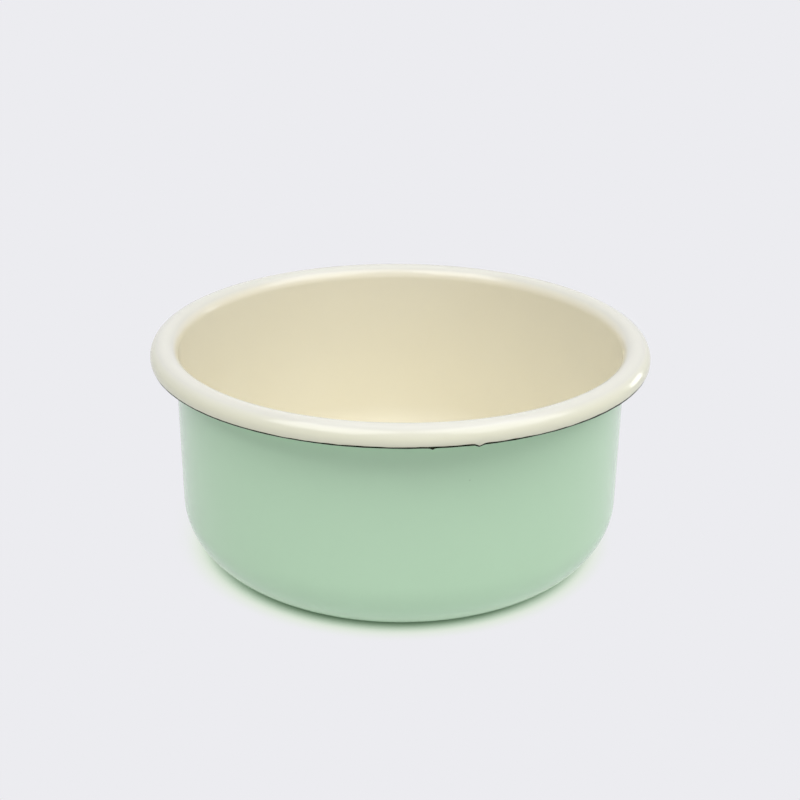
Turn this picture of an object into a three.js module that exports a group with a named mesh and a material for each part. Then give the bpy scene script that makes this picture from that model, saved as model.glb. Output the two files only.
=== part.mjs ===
// Round enamelled steel dog bowl with a rolled rim.
// Millimetres, Z up. The origin is the centre of the standing ring, on the surface that the bowl stands on.
import * as THREE from "three";

// Outside of the finished bowl, measured over the enamel
const rimDiameter = 180;
const overallHeight = 82.8;
const cornerRadius = 22.6;
const wallDraftDegrees = 0.4;

// Standing ring, and the pressed step that lifts the centre of the base off the surface
const standingRingWidth = 8;
const baseRise = 1.5;
const baseStepWidth = 5;

// Rolled rim: the sheet turns out and down into a half-round lip that is open underneath
const lipDiameter = 9.9;

// Edge of the lip, measured down its surface: cream from the widest line, then ground coat left bare to the end
const creamOverhang = 0.8;
const darkLineWidth = 0.6;

// Sheet and enamel, each coat on both faces of the sheet, with a bond gap between neighbouring layers
const steelThickness = 0.5;
const groundCoatThickness = 0.1;
const coverCoatThickness = 0.15;
const bondGap = 0.02;

// Fineness of the facets
const facetsAround = 36;
const stepArcFacets = 1;
const cornerFacets = 6;
const lipFacets = 8;
const darkLineFacets = 1;

// Where each layer lies, as distances from the middle of the steel sheet
const steelFace = steelThickness / 2;
const groundBottom = steelFace + bondGap;
const groundTop = groundBottom + groundCoatThickness;
const coverBottom = groundTop + bondGap;
const coverTop = coverBottom + coverCoatThickness;

// How far the ground coat stands out past the cut edge of the sheet
const groundEdgeStart = bondGap;
const groundEdgeEnd = groundEdgeStart + groundCoatThickness;

// Middle line of the sheet: the lip's circle, and the angles at which the cream and the steel end on it
const wallDraft = THREE.MathUtils.degToRad(wallDraftDegrees);
const lipRadius = lipDiameter / 2;
const lipMiddleRadius = lipRadius - coverTop;
const lipCentre = new THREE.Vector2(rimDiameter / 2 - lipRadius, overallHeight - lipRadius);
const lipStartAngle = Math.PI - wallDraft;
const creamEndAngle = -creamOverhang / lipRadius;
const steelEndAngle = creamEndAngle - (darkLineWidth - groundEdgeEnd) / lipRadius;

// The wall touches the lip's circle on the inside and the corner's circle on the outside
const cornerMiddleRadius = cornerRadius - coverTop;
const cornerCentreHeight = cornerRadius;
const wallFromAxis = lipCentre.x * Math.cos(wallDraft) - lipCentre.y * Math.sin(wallDraft) - lipMiddleRadius;
const cornerCentreRadius =
  (wallFromAxis - cornerMiddleRadius + cornerCentreHeight * Math.sin(wallDraft)) / Math.cos(wallDraft);
const cornerCentre = new THREE.Vector2(cornerCentreRadius, cornerCentreHeight);

// The base step is two equal arcs, one over the panel's edge and one into the standing ring
const ringHeight = coverTop;
const panelHeight = ringHeight + baseRise;
const ringInnerRadius = cornerCentre.x - standingRingWidth;
const panelRadius = ringInnerRadius - baseStepWidth;
const stepTurn = 2 * Math.atan(baseRise / baseStepWidth);
const stepArcRadius = baseStepWidth / (2 * Math.sin(stepTurn));
const panelArcCentre = new THREE.Vector2(panelRadius, panelHeight - stepArcRadius);
const ringArcCentre = new THREE.Vector2(ringInnerRadius, ringHeight + stepArcRadius);

const quarterTurn = Math.PI / 2;

// A station is a point of the sheet's middle line, with the direction across the sheet to its food side.
// The food side runs over the top of the lip and down its outside, because the sheet rolls outwards.
function arcStations(centre, radius, startAngle, endAngle, facets, foodSideIsOutward) {
  return Array.from({ length: facets + 1 }, (unused, i) => {
    const angle = THREE.MathUtils.lerp(startAngle, endAngle, i / facets);
    const outward = new THREE.Vector2(Math.cos(angle), Math.sin(angle));
    return {
      at: outward.clone().multiplyScalar(radius).add(centre),
      across: foodSideIsOutward ? outward : outward.negate(),
    };
  });
}

// Sheet from the centre of the base to the cream's edge on the lip
function creamSideStations() {
  const centre = { at: new THREE.Vector2(0, panelHeight), across: new THREE.Vector2(0, 1) };
  const panelArc = arcStations(
    panelArcCentre, stepArcRadius, quarterTurn, quarterTurn - stepTurn, stepArcFacets, true);
  const ringArc = arcStations(
    ringArcCentre, stepArcRadius, -quarterTurn - stepTurn, -quarterTurn, stepArcFacets, false);
  const corner = arcStations(
    cornerCentre, cornerMiddleRadius, -quarterTurn, -wallDraft, cornerFacets, false);
  const lip = arcStations(
    lipCentre, lipMiddleRadius, lipStartAngle, creamEndAngle, lipFacets, true);
  return [centre, ...panelArc, ...ringArc.slice(1), ...corner, ...lip];
}

// Last stretch of the sheet, under the dark line, down to the cut edge
function darkLineStations() {
  return arcStations(lipCentre, lipMiddleRadius, creamEndAngle, steelEndAngle, darkLineFacets, true);
}

const creamSide = creamSideStations();
const wholeSheet = [...creamSide, ...darkLineStations().slice(1)];

// Line that follows the stations at a distance from the middle of the sheet, towards the food side
function offsetLine(stations, distance) {
  return stations.map(({ at, across }) => across.clone().multiplyScalar(distance).add(at));
}

// Point past the cut edge of the sheet, straight on from it
function pastEdge(distance, reach) {
  const { at, across } = wholeSheet.at(-1);
  const onward = new THREE.Vector2(across.y, -across.x);
  return across.clone().multiplyScalar(distance).add(at).addScaledVector(onward, reach);
}

// Turns a profile that starts and ends on the axis into a closed solid of revolution about Z
function turned(name, profile, finish) {
  const geometry = new THREE.LatheGeometry(profile, facetsAround);
  geometry.rotateX(quarterTurn);
  const mesh = new THREE.Mesh(geometry, new THREE.MeshStandardMaterial(finish));
  mesh.name = name;
  return mesh;
}

// Layer of even thickness on a run of stations that starts at the axis
function layer(stations, bottom, top) {
  return [...offsetLine(stations, bottom), ...offsetLine(stations, top).reverse()];
}

// Pressed steel bowl with its rolled rim
function steelBody() {
  const profile = layer(wholeSheet, -steelFace, steelFace);
  return turned("steel_body", profile, { color: 0x7d8083, roughness: 0.45, metalness: 1 });
}

const groundFinish = { color: 0x2e3630, roughness: 0.3, metalness: 0 };

// Dark ground coat on the food side, up to the cut edge
function groundCoatInside() {
  const profile = layer(wholeSheet, groundBottom, groundTop);
  return turned("ground_coat_inside", profile, groundFinish);
}

// Dark ground coat on the outside and under the lip, which wraps round the cut edge
function groundCoatOutside() {
  const profile = [
    ...offsetLine(wholeSheet, -groundTop),
    pastEdge(-groundTop, groundEdgeEnd),
    pastEdge(groundTop, groundEdgeEnd),
    pastEdge(groundTop, groundEdgeStart),
    pastEdge(-groundBottom, groundEdgeStart),
    ...offsetLine(wholeSheet, -groundBottom).reverse(),
  ];
  return turned("ground_coat_outside", profile, groundFinish);
}

// Cream cover coat over the inside, the rim and the outer side of the lip down to the dark line
function creamCoverCoat() {
  const profile = layer(creamSide, coverBottom, coverTop);
  return turned("cream_cover_coat", profile, { color: 0xeee6c8, roughness: 0.12, metalness: 0 });
}

// Mint cover coat under the base, up the outside and under the lip to its edge
function mintCoverCoat() {
  const profile = layer(wholeSheet, -coverTop, -coverBottom);
  return turned("mint_cover_coat", profile, { color: 0xb3d3b7, roughness: 0.15, metalness: 0 });
}

const dogBowl = new THREE.Group();
dogBowl.add(steelBody(), groundCoatInside(), groundCoatOutside(), creamCoverCoat(), mintCoverCoat());

export default dogBowl;
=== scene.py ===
"""Enamelled dog bowl, modelled layer by layer: steel, dark ground coat, cream and mint cover coats."""

import math
from typing import NamedTuple

import bpy
from mathutils import Color, Matrix, Vector, noise


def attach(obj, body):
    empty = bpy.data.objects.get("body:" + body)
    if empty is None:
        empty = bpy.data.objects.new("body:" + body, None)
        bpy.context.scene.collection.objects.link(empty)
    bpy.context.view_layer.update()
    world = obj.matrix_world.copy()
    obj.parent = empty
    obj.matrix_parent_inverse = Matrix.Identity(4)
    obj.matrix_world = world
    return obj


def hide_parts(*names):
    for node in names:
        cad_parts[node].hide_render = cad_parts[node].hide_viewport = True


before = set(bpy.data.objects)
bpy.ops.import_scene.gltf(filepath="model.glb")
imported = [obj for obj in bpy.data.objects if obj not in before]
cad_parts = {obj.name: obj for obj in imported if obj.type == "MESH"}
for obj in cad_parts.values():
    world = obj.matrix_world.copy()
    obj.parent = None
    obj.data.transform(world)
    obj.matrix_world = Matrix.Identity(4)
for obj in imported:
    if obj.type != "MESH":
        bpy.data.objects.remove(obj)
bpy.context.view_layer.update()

bl_info = {
    "name": "Enamelled Dog Bowl",
    "version": (1, 0, 0),
    "blender": (4, 5, 0),
    "location": "3D View > Sidebar > Dog Bowl",
    "description": "Models an enamelled steel dog bowl with a rolled rim, layer by layer",
    "category": "Mesh",
}

MM = 0.001
QUARTER_TURN = math.pi / 2
BODY = "root"

# Fineness of the surfaces
STEPS_ROUND_SEEN = 720
STEPS_ROUND_HIDDEN = 240
STEP_ARC_FACETS = 3
CORNER_FACETS = 14
LIP_FACET = math.radians(10)
EDGE_FACETS = 4
SMOOTH_ANGLE = math.radians(40)
WELD_DISTANCE = 0.001 * MM

# Sockets of a mix node that mixes colours: its sockets for numbers and vectors have the same names
MIX_FACTOR, MIX_A, MIX_B, MIX_RESULT = 0, 6, 7, 2


def linear(hex_colour):
    """Linear red, green and blue of an sRGB hex colour."""
    channels = [int(hex_colour[i:i + 2], 16) / 255 for i in (1, 3, 5)]
    return tuple(c / 12.92 if c <= 0.04045 else ((c + 0.055) / 1.055) ** 2.4 for c in channels)


def length(name, description, millimetres):
    """A length property, its default given in millimetres."""
    return bpy.props.FloatProperty(
        name=name, description=description, default=millimetres * MM, unit="LENGTH", precision=5)


def angle(name, description, degrees):
    """An angle property, its default given in degrees."""
    return bpy.props.FloatProperty(
        name=name, description=description, default=math.radians(degrees), unit="ROTATION")


def position(name, description, millimetres):
    """A position property, its default given in millimetres."""
    return bpy.props.FloatVectorProperty(
        name=name, description=description, default=[c * MM for c in millimetres], unit="LENGTH", size=3)


def colour(name, description, hex_colour):
    """A colour property, its default given as an sRGB hex value."""
    return bpy.props.FloatVectorProperty(
        name=name, description=description, default=linear(hex_colour), subtype="COLOR", size=3, min=0, max=1)


def level(name, description, default):
    """A plain number property."""
    return bpy.props.FloatProperty(name=name, description=description, default=default, min=0)


class BowlSizes(bpy.types.PropertyGroup):
    """Sizes of the finished bowl, measured over the enamel"""

    rim_diameter: length("Rim diameter", "Across the outside of the rolled rim", 180)
    overall_height: length("Overall height", "From the ground to the top of the rim", 82.8)
    corner_radius: length("Corner radius", "Outside radius between base and wall", 22.6)
    wall_draft: angle("Wall draft", "Lean of the wall, which opens towards the rim", 0.4)
    standing_ring_width: length("Standing ring width", "Flat ring that meets the ground", 8)
    base_rise: length("Base rise", "Lift of the base's centre above the standing ring", 1.5)
    base_step_width: length("Base step width", "Width of the step from the ring to the centre", 5)
    lip_diameter: length("Lip diameter", "Thickness of the rolled rim, a half-round lip open underneath", 9.9)
    cream_overhang: length("Cream overhang", "From the lip's widest line down to the dark line", 0.8)
    dark_line_width: length("Dark line width", "Ground coat left bare at the lip's edge", 0.6)
    steel_thickness: length("Steel thickness", "Pressed sheet", 0.5)
    ground_coat: length("Ground coat", "Thickness of the dark coat on each face", 0.1)
    cover_coat: length("Cover coat", "Thickness of the coloured coat on each face", 0.15)
    bond_gap: length("Bond gap", "Clearance between neighbouring layers", 0.02)


class EnamelEdges(bpy.types.PropertyGroup):
    """How the wet enamel's edges stray above and below the dark line"""

    wander_length: length("Wander length", "Distance between slow strays of an edge", 45)
    wander_depth: length("Wander depth", "How far an edge strays slowly", 0.16)
    jag_length: length("Jag length", "Distance between small jags of an edge", 3)
    jag_depth: length("Jag depth", "How far an edge jags", 0.14)
    blend_length: length("Blend length", "How far behind its edge the cream follows it", 1.2)
    draw_back: length("Draw-back", "How far the cream's edge shrank back in the firing", 0.08)
    hem_share: level("Hem share", "Stray of the dark line's lower edge as a share of the cream's", 0.5)
    hem_run: length("Hem run", "How far the dark coat ran past the lip's edge", 0.08)
    drip_place: angle(
        "Drip place", "Where cream and dark line run down in a drip, from the front to the right", 16)
    drip_reach: length("Drip reach", "Half width of the drip", 1)
    drip_depth: length("Drip depth", "How far the drip runs down", 0.8)
    drop_place: angle("Drop place", "Where a dark drop hangs from the edge, from the front to the right", 6.5)
    drop_reach: length("Drop reach", "Half width of the drop", 0.6)
    drop_depth: length("Drop depth", "How far the drop hangs down", 0.6)


class EnamelColours(bpy.types.PropertyGroup):
    """Colours of the enamel and of the steel under it"""

    cream: colour("Cream", "Cover coat inside", "#e7e3d2")
    cream_deep: colour("Deep cream", "Cream where the coat lies thick", "#e5dfca")
    # Painted light, not coat depth: rim cream is the cream painted greyer and cooler over the rim's top, a
    # painted highlight that also holds the lit top down; hem cream is painted lighter and warmer than that
    # down the outside, against the shade under the lip.
    cream_rim: colour("Rim cream", "Cream over the top of the rim, where the coat is thin", "#cfcec5")
    cream_hem: colour("Hem cream", "Cream down the outside of the rim, where the coat drained to", "#dfdec8")
    cream_speck: colour("Cream speck", "Pinholes in the cream", "#8d8467")
    mint: colour("Mint", "Cover coat outside", "#c2e3c2")
    mint_deep: colour("Deep mint", "Mint where the coat lies thick", "#bee0be")
    mint_speck: colour("Mint speck", "Pinholes in the mint", "#6f8a72")
    ground: colour("Ground coat", "Dark coat that shows as a line at the lip's edge", "#1c280a")
    ground_deep: colour("Deep ground coat", "Ground coat where it lies thick", "#101a06")
    steel: colour("Steel", "Pickled sheet under the enamel", "#8b8f92")
    steel_dark: colour("Dark steel", "Streaks that the rolling left in the sheet", "#777b7e")


class StudioSettings(bpy.types.PropertyGroup):
    """Camera, lamps, surroundings and ground"""

    background: colour("Background", "Ground and surroundings", "#ececf0")
    shadow_core: colour("Shadow core", "Ground under the bowl's edge", "#3e563e")
    shadow_deep: colour("Deep shadow", "Ground close to the bowl", "#7e977e")
    shadow_half: colour("Half shadow", "Middle of the shadow, tinted by the mint", "#bfd2bd")
    shadow_fade: colour("Fading shadow", "Outer part of the shadow", "#e2eade")
    shadow_reach: length("Shadow reach", "How far the bowl shades the ground around it", 60)
    shadow_lean: angle(
        "Shadow lean", "Lean of the light that the shadow follows, from straight above to the front", 22)
    shadow_turn: angle("Shadow turn", "Turn of that light from the front to the right", 10)
    focal_length: level("Focal length", "Lens in millimetres, on a 36 mm sensor", 63.25)
    camera_distance: length("Camera distance", "From the lens to the point that it aims at", 520.5)
    camera_aim: length("Camera aim", "Height of that point, on the bowl's axis", 56.03)
    camera_elevation: angle("Camera elevation", "How steeply the camera looks down", 22.21)
    camera_roll: angle("Camera roll", "Turn of the camera about its line of sight", 0.46)
    left_place: position("Left softbox", "Where the left lamp hangs", (-440, -460, 1080))
    left_size: length("Left softbox size", "Edge of the left lamp", 800)
    left_power: level("Left softbox power", "Left lamp in watts", 8.8)
    right_place: position("Right softbox", "Where the right lamp hangs", (580, -320, 1000))
    right_size: length("Right softbox size", "Edge of the right lamp", 950)
    right_power: level("Right softbox power", "Right lamp in watts", 9.3)
    top_place: position("Top softbox", "Where the top lamp hangs", (100, 200, 1100))
    top_size: length("Top softbox size", "Edge of the top lamp", 900)
    top_power: level("Top softbox power", "Top lamp in watts", 3)
    fill_place: position("Fill softbox", "Where the lamp behind the bowl hangs", (-350, 750, 450))
    fill_size: length("Fill softbox size", "Edge of the lamp behind the bowl", 700)
    fill_power: level("Fill softbox power", "Lamp behind the bowl in watts", 1.6)
    strip_place: position("Strip lamp", "Where the strip lamp stands", (840, 530, 150))
    strip_width: length("Strip lamp width", "Width of the strip lamp", 220)
    strip_height: length("Strip lamp height", "Height of the strip lamp", 290)
    strip_power: level("Strip lamp power", "Strip lamp in watts", 0.65)
    surround_level: level("Surround level", "Light from the studio's pale walls", 0.08)
    ground_size: length("Ground size", "Edge of the square ground", 6000)


def direction(turn):
    """Unit vector in the X-Z plane at an angle from +X towards +Z."""
    return Vector((math.cos(turn), 0, math.sin(turn)))


class Arc(NamedTuple):
    """Round stretch of a section in the X-Z plane, from one angle to another about a centre."""

    centre: Vector
    radius: float
    start: float
    end: float
    facets: int

    def at(self, turn):
        """Point of the arc's circle at an angle."""
        return self.centre + self.radius * direction(turn)

    def reversed(self):
        """The same stretch, drawn from its other end."""
        return self._replace(start=self.end, end=self.start)


class Sheet:
    """Middle line of the steel sheet, from the centre of the base to the cut edge of the lip."""

    def __init__(self, sizes):
        self.steel_face = sizes.steel_thickness / 2
        self.ground_bottom = self.steel_face + sizes.bond_gap
        self.ground_top = self.ground_bottom + sizes.ground_coat
        self.cover_bottom = self.ground_top + sizes.bond_gap
        self.cover_top = self.cover_bottom + sizes.cover_coat
        self.hem_start = sizes.bond_gap
        self.hem_end = self.hem_start + sizes.ground_coat
        self.draft = sizes.wall_draft
        self.lay_lip(sizes)
        self.lay_corner(sizes)
        self.lay_step(sizes)

    def lay_lip(self, sizes):
        """The lip's circle, and the angles at which the cream, the steel and the dark line end on it."""
        self.lip_outside = sizes.lip_diameter / 2
        self.lip_radius = self.lip_outside - self.cover_top
        self.lip_centre = Vector((
            sizes.rim_diameter / 2 - self.lip_outside, 0, sizes.overall_height - self.lip_outside))
        self.lip_start = math.pi - self.draft
        self.cream_end = -sizes.cream_overhang / self.lip_outside
        self.line_end = self.cream_end - sizes.dark_line_width / self.lip_outside
        self.steel_end = self.line_end + self.hem_end / self.lip_outside

    def lay_corner(self, sizes):
        """The corner's circle, which the wall and the standing ring both touch."""
        lean, upright = math.sin(self.draft), math.cos(self.draft)
        wall_from_axis = self.lip_centre.x * upright - self.lip_centre.z * lean - self.lip_radius
        self.corner_radius = sizes.corner_radius - self.cover_top
        across = (wall_from_axis - self.corner_radius + sizes.corner_radius * lean) / upright
        self.corner_centre = Vector((across, 0, sizes.corner_radius))

    def lay_step(self, sizes):
        """The two equal arcs of the step from the standing ring up to the raised centre of the base."""
        ring_height = self.cover_top
        ring_inside = self.corner_centre.x - sizes.standing_ring_width
        self.panel_height = ring_height + sizes.base_rise
        self.step_turn = 2 * math.atan(sizes.base_rise / sizes.base_step_width)
        self.step_radius = sizes.base_step_width / (2 * math.sin(self.step_turn))
        panel_edge = ring_inside - sizes.base_step_width
        self.panel_arc = Vector((panel_edge, 0, self.panel_height - self.step_radius))
        self.ring_arc = Vector((ring_inside, 0, ring_height + self.step_radius))

    def on_lip(self, distance, turn):
        """Point of the lip at an angle and a distance from the sheet's middle, plus towards the food side."""
        return self.lip_centre + (self.lip_radius + distance) * direction(turn)

    def from_axis(self, distance, lip_end):
        """Strokes from the bowl's axis up to an angle on the lip, at a distance from the sheet's middle."""
        lip_facets = round((self.lip_start - lip_end) / LIP_FACET)
        down, up = -QUARTER_TURN, QUARTER_TURN
        return [
            Vector((0, 0, self.panel_height + distance)),
            Arc(self.panel_arc, self.step_radius + distance, up, up - self.step_turn, STEP_ARC_FACETS),
            Arc(self.ring_arc, self.step_radius - distance, down - self.step_turn, down, STEP_ARC_FACETS),
            Arc(self.corner_centre, self.corner_radius - distance, down, -self.draft, CORNER_FACETS),
            Arc(self.lip_centre, self.lip_radius + distance, self.lip_start, lip_end, lip_facets),
        ]

    def to_axis(self, distance, lip_end):
        """The same strokes, drawn from the lip back to the axis."""
        strokes = reversed(self.from_axis(distance, lip_end))
        return [s.reversed() if isinstance(s, Arc) else s for s in strokes]

    def past_edge(self, distance, reach):
        """Point straight on from the cut edge of the sheet."""
        onward = Vector((math.sin(self.steel_end), 0, -math.cos(self.steel_end)))
        return self.on_lip(distance, self.steel_end) + reach * onward

    def cream_edge(self):
        """Rounded edge of the cream on the lip, from the coat's top to its bottom."""
        middle = self.on_lip((self.cover_bottom + self.cover_top) / 2, self.cream_end)
        radius = (self.cover_top - self.cover_bottom) / 2
        return Arc(middle, radius, self.cream_end, self.cream_end - math.pi, EDGE_FACETS)


def draw_section(name, strokes):
    """Draws a section in the X-Z plane: a vertex is extruded along straight runs and spun round arcs."""
    bpy.ops.object.select_all(action="DESELECT")
    bpy.ops.mesh.primitive_plane_add(size=MM)
    bpy.context.object.name = name
    bpy.context.object.data.name = name
    bpy.ops.object.mode_set(mode="EDIT")
    bpy.ops.mesh.select_all(action="SELECT")
    bpy.ops.mesh.merge(type="CENTER")
    pen = strokes[0]
    bpy.ops.transform.translate(value=pen)
    for stroke in strokes[1:]:
        is_arc = isinstance(stroke, Arc)
        target = stroke.at(stroke.start) if is_arc else stroke
        if (target - pen).length > WELD_DISTANCE:
            bpy.ops.mesh.extrude_region_move(TRANSFORM_OT_translate={"value": target - pen})
        pen = target
        if is_arc:
            sweep = stroke.end - stroke.start
            bpy.ops.mesh.spin(steps=stroke.facets, angle=sweep, center=stroke.centre, axis=(0, 1, 0))
            pen = stroke.at(stroke.end)


def turn_section(steps):
    """Spins the drawn section round the bowl's axis and welds it into one closed solid, faces outwards."""
    bpy.ops.mesh.select_all(action="SELECT")
    bpy.ops.mesh.spin(steps=steps, angle=math.tau, center=(0, 0, 0), axis=(0, 0, 1))
    bpy.ops.mesh.select_all(action="SELECT")
    bpy.ops.mesh.remove_doubles(threshold=WELD_DISTANCE)
    bpy.ops.mesh.normals_make_consistent(inside=False)
    bpy.ops.object.mode_set(mode="OBJECT")
    bpy.ops.object.shade_smooth_by_angle(angle=SMOOTH_ANGLE)
    return bpy.context.object


def turned_piece(node, material, strokes, steps):
    """Models one layer as a solid of revolution that stands for a packed node of the same name."""
    draw_section(f"{node}_finished", strokes)
    piece = turn_section(steps)
    piece.data.materials.append(material)
    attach(piece, BODY)
    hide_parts(node)
    return piece


def stray(edges, azimuth, radius, seed):
    """How far an edge strays down the lip at an azimuth: slow wander and small jags."""
    shift = 0
    for spacing, depth in ((edges.wander_length, edges.wander_depth), (edges.jag_length, edges.jag_depth)):
        turns = radius / spacing
        shift += depth * noise.noise(Vector((turns * math.cos(azimuth), turns * math.sin(azimuth), seed)))
    return shift


def swell(azimuth, place, reach):
    """A single smooth swell, 1 at a place on the rim. Place and reach are angles, place from the front."""
    along = math.remainder(azimuth + QUARTER_TURN - place, math.tau) / reach
    return math.exp(-along * along)


def drip_at(edges, azimuth, radius):
    """How far the drip carries an edge down the lip at an azimuth."""
    return edges.drip_depth * swell(azimuth, edges.drip_place, edges.drip_reach / radius)


def slide_edge(piece, sheet, edge_angle, blend_length, shift_at):
    """Slides a coat's edge down the lip by shift_at(azimuth), with the coat easing along behind it."""
    blend_angle = blend_length / sheet.lip_outside
    for vertex in piece.data.vertices:
        azimuth = math.atan2(vertex.co.y, vertex.co.x)
        outward = Vector((math.cos(azimuth), math.sin(azimuth), 0))
        spoke = vertex.co - sheet.lip_centre.x * outward - Vector((0, 0, sheet.lip_centre.z))
        if spoke.length > sheet.lip_outside + WELD_DISTANCE:
            continue
        turn = math.atan2(spoke.z, spoke.dot(outward))
        share = min(1, 1 - (turn - edge_angle) / blend_angle)
        if share <= 0:
            continue
        eased = share * share * (3 - 2 * share)
        turn -= eased * shift_at(azimuth) / sheet.lip_outside
        vertex.co += spoke.length * (math.cos(turn) * outward + Vector((0, 0, math.sin(turn)))) - spoke


def add_node(tree, kind, inputs=None, **settings):
    """Adds a node, sets its options, and feeds its inputs with values or with other nodes' outputs."""
    node = tree.nodes.new(kind)
    for option, value in settings.items():
        setattr(node, option, value)
    for socket, value in (inputs or {}).items():
        if isinstance(value, bpy.types.NodeSocket):
            tree.links.new(value, node.inputs[socket])
        else:
            node.inputs[socket].default_value = value
    return node


def empty_tree(owner):
    """The cleared node tree of a material or a world."""
    owner.use_nodes = True
    owner.node_tree.nodes.clear()
    return owner.node_tree


def per_metre(millimetres):
    """Scale of a texture that repeats about once in this many millimetres."""
    return 1 / (millimetres * MM)


# Vitreous enamel is glass fused to the steel: opaque colour under a hard, glossy skin that ripples slightly.
# The colour drifts a little where the slip pooled as it drained, and a few pinholes show as dark specks.
# Spacings and the specks' radius are in millimetres, as they are for the other materials.
ENAMEL_IOR = 1.52
POOL_SPACING = 60
GLOSS_SPACING = 25
RIPPLE_SPACING = 9
RIPPLE_DEPTH = 0.012 * MM
RIPPLE_DETAIL = 1.0
SPECK_SPACING = 22
SPECK_RADIUS = 0.25
SPECK_SOFTNESS = 0.5
SPECK_STRENGTH = 0.6


class Skin(NamedTuple):
    """Surface of a coat: its least and greatest roughness, and the strength of its highlights."""

    smoothest: float
    roughest: float
    specular: float


CREAM_SKIN = Skin(smoothest=0.09, roughest=0.13, specular=0.35)
MINT_SKIN = Skin(smoothest=0.10, roughest=0.16, specular=0.5)


class Rim(NamedTuple):
    """Painted light of a coat on the rim: a painted highlight colour over the top, a lighter painted colour
    down the outside, and how far from the axis the rim's sides are.
    """

    top: Color
    hem: Color
    inside: float
    outside: float


# Shares of the way across the rim, from its inside to its outside, between which the coat's colour blends
# into the painted highlight over the top, and that into the painted light down the outside
RIM_BLEND = (0.02, 0.2)
HEM_BLEND = (0.74, 0.97)


def with_rim(tree, place, body, rim):
    """The coat's colour, blended with the distance from the bowl's axis into painted rim light: a painted
    highlight over the top, a painted lighter colour down the outside.
    """
    level_place = add_node(tree, "ShaderNodeVectorMath", {0: place, 1: (1, 1, 0)}, operation="MULTIPLY")
    from_axis = add_node(tree, "ShaderNodeVectorMath", {0: level_place.outputs["Vector"]}, operation="LENGTH")
    across = add_node(tree, "ShaderNodeMapRange", {
        "Value": from_axis.outputs["Value"], "From Min": rim.inside, "From Max": rim.outside})
    hem_share = add_node(tree, "ShaderNodeMapRange", {
        "Value": across.outputs["Result"], "From Min": HEM_BLEND[0], "From Max": HEM_BLEND[1]})
    over_rim = add_node(tree, "ShaderNodeMix", {
        MIX_FACTOR: hem_share.outputs["Result"], MIX_A: (*rim.top, 1), MIX_B: (*rim.hem, 1)},
        data_type="RGBA")
    rim_share = add_node(tree, "ShaderNodeMapRange", {
        "Value": across.outputs["Result"], "From Min": RIM_BLEND[0], "From Max": RIM_BLEND[1]})
    return add_node(tree, "ShaderNodeMix", {
        MIX_FACTOR: rim_share.outputs["Result"], MIX_A: body.outputs[MIX_RESULT],
        MIX_B: over_rim.outputs[MIX_RESULT]}, data_type="RGBA")


def vitreous_enamel(name, thin, thick, speck, skin, rim=None):
    """Glossy enamel whose colour drifts between that of a thin and of a thick coat."""
    material = bpy.data.materials.new(name)
    tree = empty_tree(material)
    place = add_node(tree, "ShaderNodeTexCoord").outputs["Object"]
    pools = add_node(tree, "ShaderNodeTexNoise", {"Vector": place, "Scale": per_metre(POOL_SPACING)})
    body = add_node(tree, "ShaderNodeMix", {
        MIX_FACTOR: pools.outputs["Fac"], MIX_A: (*thin, 1), MIX_B: (*thick, 1)}, data_type="RGBA")
    # Over the rim the colour is painted light: a painted highlight over its top and a painted lighter colour
    # down its outside
    if rim:
        body = with_rim(tree, place, body, rim)
    pinholes = add_node(tree, "ShaderNodeTexVoronoi", {"Vector": place, "Scale": per_metre(SPECK_SPACING)})
    pinhole = add_node(tree, "ShaderNodeMapRange", {
        "Value": pinholes.outputs["Distance"],
        "From Min": (1 - SPECK_SOFTNESS) * SPECK_RADIUS / SPECK_SPACING,
        "From Max": (1 + SPECK_SOFTNESS) * SPECK_RADIUS / SPECK_SPACING,
        "To Min": SPECK_STRENGTH, "To Max": 0.0})
    specked = add_node(tree, "ShaderNodeMix", {
        MIX_FACTOR: pinhole.outputs["Result"], MIX_A: body.outputs[MIX_RESULT], MIX_B: (*speck, 1)},
        data_type="RGBA")
    drift = add_node(tree, "ShaderNodeTexNoise", {"Vector": place, "Scale": per_metre(GLOSS_SPACING)})
    gloss = add_node(tree, "ShaderNodeMapRange", {
        "Value": drift.outputs["Fac"], "To Min": skin.smoothest, "To Max": skin.roughest})
    ripples = add_node(tree, "ShaderNodeTexNoise", {
        "Vector": place, "Scale": per_metre(RIPPLE_SPACING), "Detail": RIPPLE_DETAIL})
    rippled = add_node(tree, "ShaderNodeBump", {"Height": ripples.outputs["Fac"], "Distance": RIPPLE_DEPTH})
    glass = add_node(tree, "ShaderNodeBsdfPrincipled", {
        "Base Color": specked.outputs[MIX_RESULT], "Roughness": gloss.outputs["Result"],
        "IOR": ENAMEL_IOR, "Specular IOR Level": skin.specular, "Normal": rippled.outputs["Normal"]})
    add_node(tree, "ShaderNodeOutputMaterial", {"Surface": glass.outputs["BSDF"]})
    return material


# The ground coat is a thin dark glass, nearly black and burnt dull where it is bare.
# Its colour drifts a little with its depth.
GROUND_ROUGHNESS = 0.5
GROUND_SPECULAR = 0.1
GROUND_POOL_SPACING = 8


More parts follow.
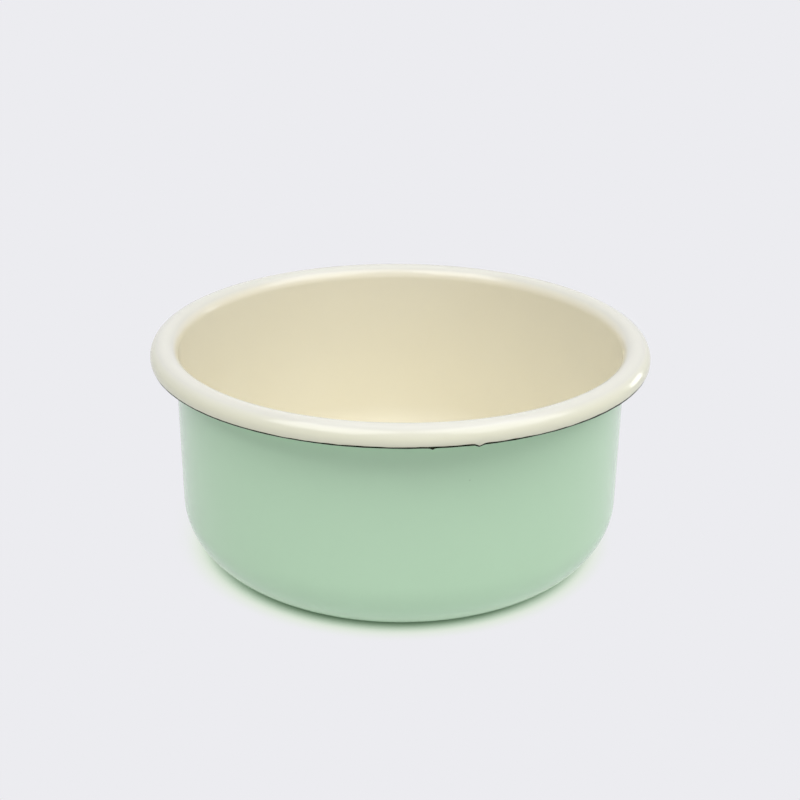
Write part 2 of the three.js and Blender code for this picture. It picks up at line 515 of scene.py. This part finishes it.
def ground_enamel(colours):
    """Dark glass of the ground coat."""
    material = bpy.data.materials.new("dark ground-coat enamel")
    tree = empty_tree(material)
    place = add_node(tree, "ShaderNodeTexCoord").outputs["Object"]
    pools = add_node(tree, "ShaderNodeTexNoise", {"Vector": place, "Scale": per_metre(GROUND_POOL_SPACING)})
    body = add_node(tree, "ShaderNodeMix", {
        MIX_FACTOR: pools.outputs["Fac"], MIX_A: (*colours.ground, 1), MIX_B: (*colours.ground_deep, 1)},
        data_type="RGBA")
    glass = add_node(tree, "ShaderNodeBsdfPrincipled", {
        "Base Color": body.outputs[MIX_RESULT], "Roughness": GROUND_ROUGHNESS, "IOR": ENAMEL_IOR,
        "Specular IOR Level": GROUND_SPECULAR})
    add_node(tree, "ShaderNodeOutputMaterial", {"Surface": glass.outputs["BSDF"]})
    return material


# Pickled low-carbon sheet: matt grey metal, with the fine streaks that rolling leaves.
STEEL_ROUGHNESS = 0.45
STREAK_SPACING = 1.5
STREAK_STRETCH = 20


def pickled_steel(colours):
    """Matt grey sheet steel."""
    material = bpy.data.materials.new("pickled sheet steel")
    tree = empty_tree(material)
    place = add_node(tree, "ShaderNodeTexCoord").outputs["Object"]
    along = add_node(tree, "ShaderNodeMapping", {"Vector": place, "Scale": (1, 1 / STREAK_STRETCH, 1)})
    streaks = add_node(tree, "ShaderNodeTexNoise", {
        "Vector": along.outputs["Vector"], "Scale": per_metre(STREAK_SPACING)})
    body = add_node(tree, "ShaderNodeMix", {
        MIX_FACTOR: streaks.outputs["Fac"], MIX_A: (*colours.steel, 1), MIX_B: (*colours.steel_dark, 1)},
        data_type="RGBA")
    metal = add_node(tree, "ShaderNodeBsdfPrincipled", {
        "Base Color": body.outputs[MIX_RESULT], "Metallic": 1.0, "Roughness": STEEL_ROUGHNESS})
    add_node(tree, "ShaderNodeOutputMaterial", {"Surface": metal.outputs["BSDF"]})
    return material


def settings_of(scene):
    """The bowl's sizes, its enamel's edges and its colours."""
    return scene.bowl_sizes, scene.enamel_edges, scene.bowl_colours


class DOGBOWL_OT_steel_body(bpy.types.Operator):
    """Model the pressed steel bowl with its rolled rim"""

    bl_idname = "dogbowl.steel_body"
    bl_label = "Pressed Steel Bowl"

    def execute(self, context):
        sheet = Sheet(context.scene.bowl_sizes)
        strokes = [
            *sheet.from_axis(-sheet.steel_face, sheet.steel_end),
            *sheet.to_axis(sheet.steel_face, sheet.steel_end),
        ]
        material = pickled_steel(context.scene.bowl_colours)
        turned_piece("steel_body", material, strokes, STEPS_ROUND_HIDDEN)
        return {"FINISHED"}


class DOGBOWL_OT_ground_coats(bpy.types.Operator):
    """Model the dark ground coat on both faces of the sheet; the outer one wraps round the lip's cut edge"""

    bl_idname = "dogbowl.ground_coats"
    bl_label = "Ground Coats"

    hem_seed = 7.5

    def execute(self, context):
        sizes, edges, colours = settings_of(context.scene)
        sheet = Sheet(sizes)
        inside = [
            *sheet.from_axis(sheet.ground_bottom, sheet.steel_end),
            *sheet.to_axis(sheet.ground_top, sheet.steel_end),
        ]
        outside = [
            *sheet.from_axis(-sheet.ground_top, sheet.steel_end),
            sheet.past_edge(-sheet.ground_top, sheet.hem_end),
            sheet.past_edge(sheet.ground_top, sheet.hem_end),
            sheet.past_edge(sheet.ground_top, sheet.hem_start),
            sheet.past_edge(-sheet.ground_bottom, sheet.hem_start),
            *sheet.to_axis(-sheet.ground_bottom, sheet.steel_end),
        ]
        material = ground_enamel(colours)
        turned_piece("ground_coat_inside", material, inside, STEPS_ROUND_SEEN)
        hemmed = turned_piece("ground_coat_outside", material, outside, STEPS_ROUND_SEEN)
        radius = sizes.rim_diameter / 2

        def shift_at(azimuth):
            jag = edges.hem_share * stray(edges, azimuth, radius, self.hem_seed)
            drop = edges.drop_depth * swell(azimuth, edges.drop_place, edges.drop_reach / radius)
            return edges.hem_run + jag + drip_at(edges, azimuth, radius) + drop

        slide_edge(hemmed, sheet, sheet.line_end, sizes.ground_coat, shift_at)
        return {"FINISHED"}


class DOGBOWL_OT_cream_coat(bpy.types.Operator):
    """Model the cream coat over the inside and the rim, down to its ragged edge above the dark line"""

    bl_idname = "dogbowl.cream_coat"
    bl_label = "Cream Cover Coat"

    edge_seed = 0.5

    def execute(self, context):
        sizes, edges, colours = settings_of(context.scene)
        sheet = Sheet(sizes)
        strokes = [
            *sheet.from_axis(sheet.cover_top, sheet.cream_end),
            sheet.cream_edge(),
            *sheet.to_axis(sheet.cover_bottom, sheet.cream_end),
        ]
        # The rim's colours are painted light: a painted highlight over the top and a painted lighter colour
        # down the outside
        rim = Rim(
            colours.cream_rim, colours.cream_hem,
            sheet.lip_centre.x - sheet.lip_outside, sheet.lip_centre.x + sheet.lip_outside)
        material = vitreous_enamel(
            "cream vitreous enamel", colours.cream, colours.cream_deep, colours.cream_speck, CREAM_SKIN, rim)
        piece = turned_piece("cream_cover_coat", material, strokes, STEPS_ROUND_SEEN)
        radius = sizes.rim_diameter / 2

        def shift_at(azimuth):
            ragged = stray(edges, azimuth, radius, self.edge_seed)
            return ragged + drip_at(edges, azimuth, radius) - edges.draw_back

        slide_edge(piece, sheet, sheet.cream_end, edges.blend_length, shift_at)
        return {"FINISHED"}


class DOGBOWL_OT_mint_coat(bpy.types.Operator):
    """Model the mint coat under the lip, down the outside and under the base"""

    bl_idname = "dogbowl.mint_coat"
    bl_label = "Mint Cover Coat"

    def execute(self, context):
        sheet = Sheet(context.scene.bowl_sizes)
        colours = context.scene.bowl_colours
        strokes = [
            *sheet.from_axis(-sheet.cover_top, sheet.steel_end),
            *sheet.to_axis(-sheet.cover_bottom, sheet.steel_end),
        ]
        material = vitreous_enamel(
            "mint vitreous enamel", colours.mint, colours.mint_deep, colours.mint_speck, MINT_SKIN)
        turned_piece("mint_cover_coat", material, strokes, STEPS_ROUND_SEEN)
        return {"FINISHED"}


def seen_rays(tree):
    """1 for a ray that shows the ground or backdrop: from the camera, a reflection or a see-through piece."""
    path = add_node(tree, "ShaderNodeLightPath").outputs
    direct = add_node(tree, "ShaderNodeMath", {
        0: path["Is Camera Ray"], 1: path["Is Glossy Ray"]}, operation="ADD")
    seen = add_node(tree, "ShaderNodeMath", {
        0: direct.outputs["Value"], 1: path["Is Transmission Ray"]}, operation="ADD", use_clamp=True)
    return seen.outputs["Value"]


# The ground is matt paper. It shows its pale colour evenly, with the bowl's soft shadow close around it.
# The shadow deepens as the bowl hides more of the light: each share is the part of it that still gets in.
PAPER_ALBEDO = "#e6e6ea"
CORE_SHARE = 0.21
DEEP_SHARE = 0.28
HALF_SHARE = 0.37
FADE_SHARE = 0.45
CLEAR_SHARE = 0.60
SHADOW_SAMPLES = 32


def ground_paper(studio):
    """Pale paper that keeps the bowl's soft shadow."""
    material = bpy.data.materials.new("pale matt paper")
    tree = empty_tree(material)
    lean = Matrix.Rotation(studio.shadow_turn, 3, "Z") @ Matrix.Rotation(studio.shadow_lean, 3, "X")
    to_light = add_node(tree, "ShaderNodeCombineXYZ", dict(zip("XYZ", lean @ Vector((0, 0, 1)))))
    light_share = add_node(tree, "ShaderNodeAmbientOcclusion", {
        "Distance": studio.shadow_reach, "Normal": to_light.outputs["Vector"]}, samples=SHADOW_SAMPLES)
    shown = add_node(tree, "ShaderNodeValToRGB", {"Fac": light_share.outputs["AO"]})
    shades = (
        (CORE_SHARE, studio.shadow_core),
        (DEEP_SHARE, studio.shadow_deep),
        (HALF_SHARE, studio.shadow_half),
        (FADE_SHARE, studio.shadow_fade),
        (CLEAR_SHARE, studio.background),
    )
    stops = shown.color_ramp.elements
    while len(stops) < len(shades):
        stops.new(1)
    for stop, (share, shade) in zip(stops, shades):
        stop.position = share
        stop.color = (*shade, 1)
    lit = add_node(tree, "ShaderNodeBsdfDiffuse", {"Color": (*linear(PAPER_ALBEDO), 1)})
    even = add_node(tree, "ShaderNodeEmission", {"Color": shown.outputs["Color"]})
    mix = add_node(tree, "ShaderNodeMixShader", {
        0: seen_rays(tree), 1: lit.outputs["BSDF"], 2: even.outputs["Emission"]})
    add_node(tree, "ShaderNodeOutputMaterial", {"Surface": mix.outputs["Shader"]})
    return material


def pale_surroundings(studio):
    """World that shows the backdrop's colour and lights the bowl from all round."""
    world = bpy.data.worlds.new("pale studio")
    tree = empty_tree(world)
    light = add_node(tree, "ShaderNodeBackground", {
        "Color": (1, 1, 1, 1), "Strength": studio.surround_level})
    backdrop = add_node(tree, "ShaderNodeBackground", {"Color": (*studio.background, 1)})
    mix = add_node(tree, "ShaderNodeMixShader", {
        0: seen_rays(tree), 1: light.outputs["Background"], 2: backdrop.outputs["Background"]})
    add_node(tree, "ShaderNodeOutputWorld", {"Surface": mix.outputs["Shader"]})
    return world


class DOGBOWL_OT_stage(bpy.types.Operator):
    """Set up the ground, the soft lamps, the pale surroundings and the camera"""

    bl_idname = "dogbowl.stage"
    bl_label = "Stage"

    def execute(self, context):
        scene = context.scene
        studio = scene.studio
        bpy.ops.object.select_all(action="DESELECT")
        bpy.ops.mesh.primitive_plane_add(size=studio.ground_size)
        ground = context.object
        ground.name = "ground"
        ground.data.materials.append(ground_paper(studio))
        scene.world = pale_surroundings(studio)
        self.add_lamp(context, "left softbox", studio.left_place, studio.left_power, studio.left_size)
        self.add_lamp(context, "right softbox", studio.right_place, studio.right_power, studio.right_size)
        self.add_lamp(context, "top softbox", studio.top_place, studio.top_power, studio.top_size)
        self.add_lamp(
            context, "strip lamp", studio.strip_place, studio.strip_power,
            studio.strip_width, studio.strip_height)
        # The fill lights the bowl from behind and isn't mirrored in its enamel
        fill = self.add_lamp(context, "fill softbox", studio.fill_place, studio.fill_power, studio.fill_size)
        fill.visible_glossy = False
        self.place_camera(context, studio)
        scene.view_settings.view_transform = "Standard"
        return {"FINISHED"}

    def add_lamp(self, context, name, place, power, width, height=None):
        """One soft lamp that faces the bowl and stays out of the picture, square unless it has a height."""
        facing = (-Vector(place)).to_track_quat("-Z", "Y").to_euler()
        bpy.ops.object.light_add(type="AREA", location=place, rotation=facing)
        lamp = context.object
        lamp.name = name
        lamp.data.shape = "RECTANGLE"
        lamp.data.size = width
        lamp.data.size_y = height or width
        lamp.data.energy = power
        lamp.visible_camera = False
        return lamp

    def place_camera(self, context, studio):
        """The camera looks along +Y and down at the bowl's axis."""
        sight = Matrix.Rotation(QUARTER_TURN - studio.camera_elevation, 3, "X")
        aim = Vector((0, 0, studio.camera_aim))
        place = aim + sight @ Vector((0, 0, studio.camera_distance))
        turn = (sight @ Matrix.Rotation(studio.camera_roll, 3, "Z")).to_euler()
        bpy.ops.object.camera_add(location=place, rotation=turn)
        context.object.name = "camera"
        context.object.data.lens = studio.focal_length
        context.scene.camera = context.object


OPERATORS = (
    DOGBOWL_OT_stage,
    DOGBOWL_OT_steel_body,
    DOGBOWL_OT_ground_coats,
    DOGBOWL_OT_cream_coat,
    DOGBOWL_OT_mint_coat,
)
SETTINGS = {
    "bowl_sizes": BowlSizes,
    "enamel_edges": EnamelEdges,
    "bowl_colours": EnamelColours,
    "studio": StudioSettings,
}


class DOGBOWL_PT_sidebar(bpy.types.Panel):
    """Lists the bowl's pieces and the settings they follow"""

    bl_idname = "DOGBOWL_PT_sidebar"
    bl_label = "Enamelled Dog Bowl"
    bl_space_type = "VIEW_3D"
    bl_region_type = "UI"
    bl_category = "Dog Bowl"

    def draw(self, context):
        for operator in OPERATORS:
            self.layout.operator(operator.bl_idname)
        for name, group in SETTINGS.items():
            box = self.layout.box()
            box.label(text=group.__doc__)
            for setting in group.__annotations__:
                box.prop(getattr(context.scene, name), setting)


def register():
    """Registers the settings, the operators and the panel."""
    for group in SETTINGS.values():
        bpy.utils.register_class(group)
    for name, group in SETTINGS.items():
        setattr(bpy.types.Scene, name, bpy.props.PointerProperty(type=group))
    for part in (*OPERATORS, DOGBOWL_PT_sidebar):
        bpy.utils.register_class(part)


def unregister():
    """Removes what register added."""
    for part in (DOGBOWL_PT_sidebar, *reversed(OPERATORS)):
        bpy.utils.unregister_class(part)
    for name in SETTINGS:
        delattr(bpy.types.Scene, name)
    for group in reversed(SETTINGS.values()):
        bpy.utils.unregister_class(group)


def main():
    """Builds the stage and the bowl."""
    register()
    bpy.ops.dogbowl.stage()
    bpy.ops.dogbowl.steel_body()
    bpy.ops.dogbowl.ground_coats()
    bpy.ops.dogbowl.cream_coat()
    bpy.ops.dogbowl.mint_coat()


if __name__ == "__main__":
    main()
